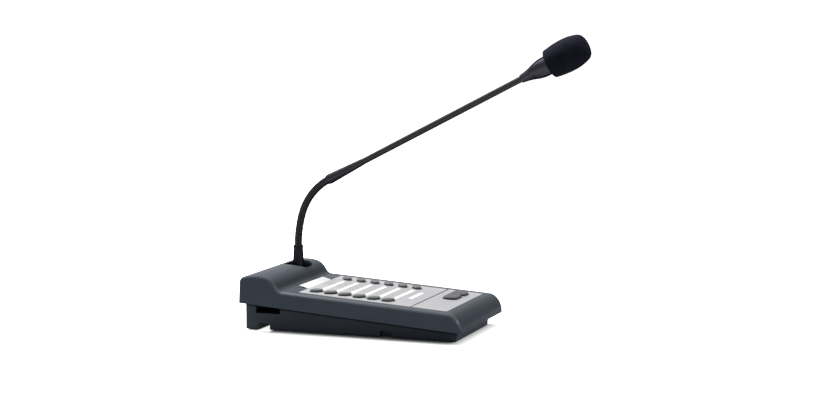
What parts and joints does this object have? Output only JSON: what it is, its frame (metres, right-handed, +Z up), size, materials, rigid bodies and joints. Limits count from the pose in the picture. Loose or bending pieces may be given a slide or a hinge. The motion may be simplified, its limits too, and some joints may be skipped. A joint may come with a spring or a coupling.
{
  "type": "gooseneck desk microphone",
  "caption": "Desk paging microphone: a wedge-shaped console with slanted oval keys beside label windows, and a flexible neck with a long straight arm and foam-covered head.",
  "frame": {"origin": "middle of the console's footprint, on the face of the rubber mat it rests on", "axes": "+X to the right of the person who uses it, +Y away from that person, +Z up"},
  "size_m": [0.1352, 0.3317, 0.2955],
  "materials": {
    "cover_plastic": "satin, fine grain",
    "tray_plastic": "fine texture",
    "soft_rubber": "matt",
    "zinc_steel": "zinc plated",
    "ballast_steel": "primed",
    "silver_film": "satin print film",
    "clear_window": "clear",
    "label_paper": "plain",
    "light_pipe": "smoked",
    "circuit_board": "solder mask",
    "black_plastic": "moulded",
    "cup_plastic": "satin",
    "lead_sheath": "smooth",
    "key_plastic": "satin",
    "turned_brass": "turned",
    "black_steel": "satin black",
    "black_aluminium": "satin black",
    "capsule_metal": "turned",
    "open_foam": "open cell foam"
  },
  "bodies": {
    "console": {"top_cover": "cover_plastic", "base_tray": "tray_plastic", "rubber_base_mat": "soft_rubber", "housing_screws": "zinc_steel", "ballast_plate": "ballast_steel", "ballast_clips": "zinc_steel", "zone_film": "silver_film", "speak_film": "silver_film", "label_windows": "clear_window", "label_sheet": "label_paper", "zone_lamps": "light_pipe", "main_board": "circuit_board", "board_screws": "zinc_steel", "key_switches": "black_plastic", "link_board": "circuit_board", "data_sockets": "black_plastic", "power_socket": "black_plastic", "stacking_header": "black_plastic", "lead_plug": "black_plastic", "mic_lead": "lead_sheath", "neck_cup": "cup_plastic", "cup_screws": "zinc_steel", "neck_stem": "turned_brass", "stem_washer": "zinc_steel", "stem_nut": "zinc_steel", "neck_boot": "soft_rubber", "neck_root": "black_steel"},
    "zone_key_left_1": {"zone_key_left_1": "key_plastic"},
    "zone_key_left_2": {"zone_key_left_2": "key_plastic"},
    "zone_key_left_3": {"zone_key_left_3": "key_plastic"},
    "zone_key_left_4": {"zone_key_left_4": "key_plastic"},
    "zone_key_left_5": {"zone_key_left_5": "key_plastic"},
    "zone_key_left_6": {"zone_key_left_6": "key_plastic"},
    "zone_key_right_1": {"zone_key_right_1": "key_plastic"},
    "zone_key_right_2": {"zone_key_right_2": "key_plastic"},
    "zone_key_right_3": {"zone_key_right_3": "key_plastic"},
    "zone_key_right_4": {"zone_key_right_4": "key_plastic"},
    "zone_key_right_5": {"zone_key_right_5": "key_plastic"},
    "zone_key_right_6": {"zone_key_right_6": "key_plastic"},
    "talk_key": {"talk_key": "key_plastic"},
    "select_key": {"select_key": "key_plastic"},
    "neck_link_1": {"neck_link_1": "black_steel"},
    "neck_link_2": {"neck_link_2": "black_steel"},
    "neck_link_3": {"neck_link_3": "black_steel"},
    "neck_link_4": {"neck_link_4": "black_steel"},
    "neck_link_5": {"neck_link_5": "black_steel"},
    "neck_link_6": {"neck_link_6": "black_steel"},
    "neck_link_7": {"neck_link_7": "black_steel"},
    "neck_link_8": {"neck_link_8": "black_steel"},
    "microphone_arm": {"neck_tip": "black_steel", "neck_collar": "black_steel", "arm_tube": "black_steel", "capsule_housing": "black_aluminium", "capsule": "capsule_metal", "capsule_ring": "soft_rubber", "head_grille": "black_steel", "foam_windscreen": "open_foam"}
  },
  "joints": [
    {"name": "press_zone_key_left_1", "type": "slide", "parent": "console", "child": "zone_key_left_1", "axis": [0, 0.0663, -0.9978], "range_m": [0, 0.0008], "stiffness_N_per_m": 600, "springref_m": -0.001},
    {"name": "press_zone_key_left_2", "type": "slide", "parent": "console", "child": "zone_key_left_2", "axis": [0, 0.0663, -0.9978], "range_m": [0, 0.0008], "stiffness_N_per_m": 600, "springref_m": -0.001},
    {"name": "press_zone_key_left_3", "type": "slide", "parent": "console", "child": "zone_key_left_3", "axis": [0, 0.0663, -0.9978], "range_m": [0, 0.0008], "stiffness_N_per_m": 600, "springref_m": -0.001},
    {"name": "press_zone_key_left_4", "type": "slide", "parent": "console", "child": "zone_key_left_4", "axis": [0, 0.0663, -0.9978], "range_m": [0, 0.0008], "stiffness_N_per_m": 600, "springref_m": -0.001},
    {"name": "press_zone_key_left_5", "type": "slide", "parent": "console", "child": "zone_key_left_5", "axis": [0, 0.0663, -0.9978], "range_m": [0, 0.0008], "stiffness_N_per_m": 600, "springref_m": -0.001},
    {"name": "press_zone_key_left_6", "type": "slide", "parent": "console", "child": "zone_key_left_6", "axis": [0, 0.0663, -0.9978], "range_m": [0, 0.0008], "stiffness_N_per_m": 600, "springref_m": -0.001},
    {"name": "press_zone_key_right_1", "type": "slide", "parent": "console", "child": "zone_key_right_1", "axis": [0, 0.0663, -0.9978], "range_m": [0, 0.0008], "stiffness_N_per_m": 600, "springref_m": -0.001},
    {"name": "press_zone_key_right_2", "type": "slide", "parent": "console", "child": "zone_key_right_2", "axis": [0, 0.0663, -0.9978], "range_m": [0, 0.0008], "stiffness_N_per_m": 600, "springref_m": -0.001},
    {"name": "press_zone_key_right_3", "type": "slide", "parent": "console", "child": "zone_key_right_3", "axis": [0, 0.0663, -0.9978], "range_m": [0, 0.0008], "stiffness_N_per_m": 600, "springref_m": -0.001},
    {"name": "press_zone_key_right_4", "type": "slide", "parent": "console", "child": "zone_key_right_4", "axis": [0, 0.0663, -0.9978], "range_m": [0, 0.0008], "stiffness_N_per_m": 600, "springref_m": -0.001},
    {"name": "press_zone_key_right_5", "type": "slide", "parent": "console", "child": "zone_key_right_5", "axis": [0, 0.0663, -0.9978], "range_m": [0, 0.0008], "stiffness_N_per_m": 600, "springref_m": -0.001},
    {"name": "press_zone_key_right_6", "type": "slide", "parent": "console", "child": "zone_key_right_6", "axis": [0, 0.0663, -0.9978], "range_m": [0, 0.0008], "stiffness_N_per_m": 600, "springref_m": -0.001},
    {"name": "press_talk_key", "type": "slide", "parent": "console", "child": "talk_key", "axis": [0, 0.0663, -0.9978], "range_m": [0, 0.0008], "stiffness_N_per_m": 600, "springref_m": -0.001},
    {"name": "press_select_key", "type": "slide", "parent": "console", "child": "select_key", "axis": [0, 0.0663, -0.9978], "range_m": [0, 0.0008], "stiffness_N_per_m": 600, "springref_m": -0.001},
    {"name": "neck_nod_1", "type": "hinge", "parent": "console", "child": "neck_link_1", "pos_m": [0.033, 0.08865, 0.0786], "axis": [1, 0, 0], "range_deg": [-12.4, 7], "deforming": ["mic_lead"]},
    {"name": "neck_sway_1", "type": "hinge", "parent": "neck_link_1", "child": "neck_link_2", "pos_m": [0.033, 0.08804, 0.08778], "axis": [0, 0.9945, 0.1048], "range_deg": [-11, 11], "deforming": ["mic_lead"]},
    {"name": "neck_nod_2", "type": "hinge", "parent": "neck_link_2", "child": "neck_link_3", "pos_m": [0.033, 0.08673, 0.09688], "axis": [1, 0, 0], "range_deg": [-12.4, 7], "deforming": ["mic_lead"]},
    {"name": "neck_sway_2", "type": "hinge", "parent": "neck_link_3", "child": "neck_link_4", "pos_m": [0.033, 0.08472, 0.10586], "axis": [0, 0.9668, 0.2555], "range_deg": [-11, 11], "deforming": ["mic_lead"]},
    {"name": "neck_nod_3", "type": "hinge", "parent": "neck_link_4", "child": "neck_link_5", "pos_m": [0.033, 0.08183, 0.11458], "axis": [1, 0, 0], "range_deg": [-12.4, 7], "deforming": ["mic_lead"]},
    {"name": "neck_sway_3", "type": "hinge", "parent": "neck_link_5", "child": "neck_link_6", "pos_m": [0.033, 0.07765, 0.12277], "axis": [0, 0.8533, 0.5214], "range_deg": [-11, 11], "deforming": ["mic_lead"]},
    {"name": "neck_nod_4", "type": "hinge", "parent": "neck_link_6", "child": "neck_link_7", "pos_m": [0.033, 0.07227, 0.13022], "axis": [1, 0, 0], "range_deg": [-12.4, 7], "deforming": ["mic_lead"]},
    {"name": "neck_sway_4", "type": "hinge", "parent": "neck_link_7", "child": "neck_link_8", "pos_m": [0.033, 0.06581, 0.13676], "axis": [0, 0.6553, 0.7553], "range_deg": [-11, 11], "deforming": ["mic_lead"]},
    {"name": "neck_nod_5", "type": "hinge", "parent": "neck_link_8", "child": "microphone_arm", "pos_m": [0.033, 0.05843, 0.14223], "axis": [1, 0, 0], "range_deg": [-12.4, 7], "deforming": ["mic_lead"]}
  ]
}
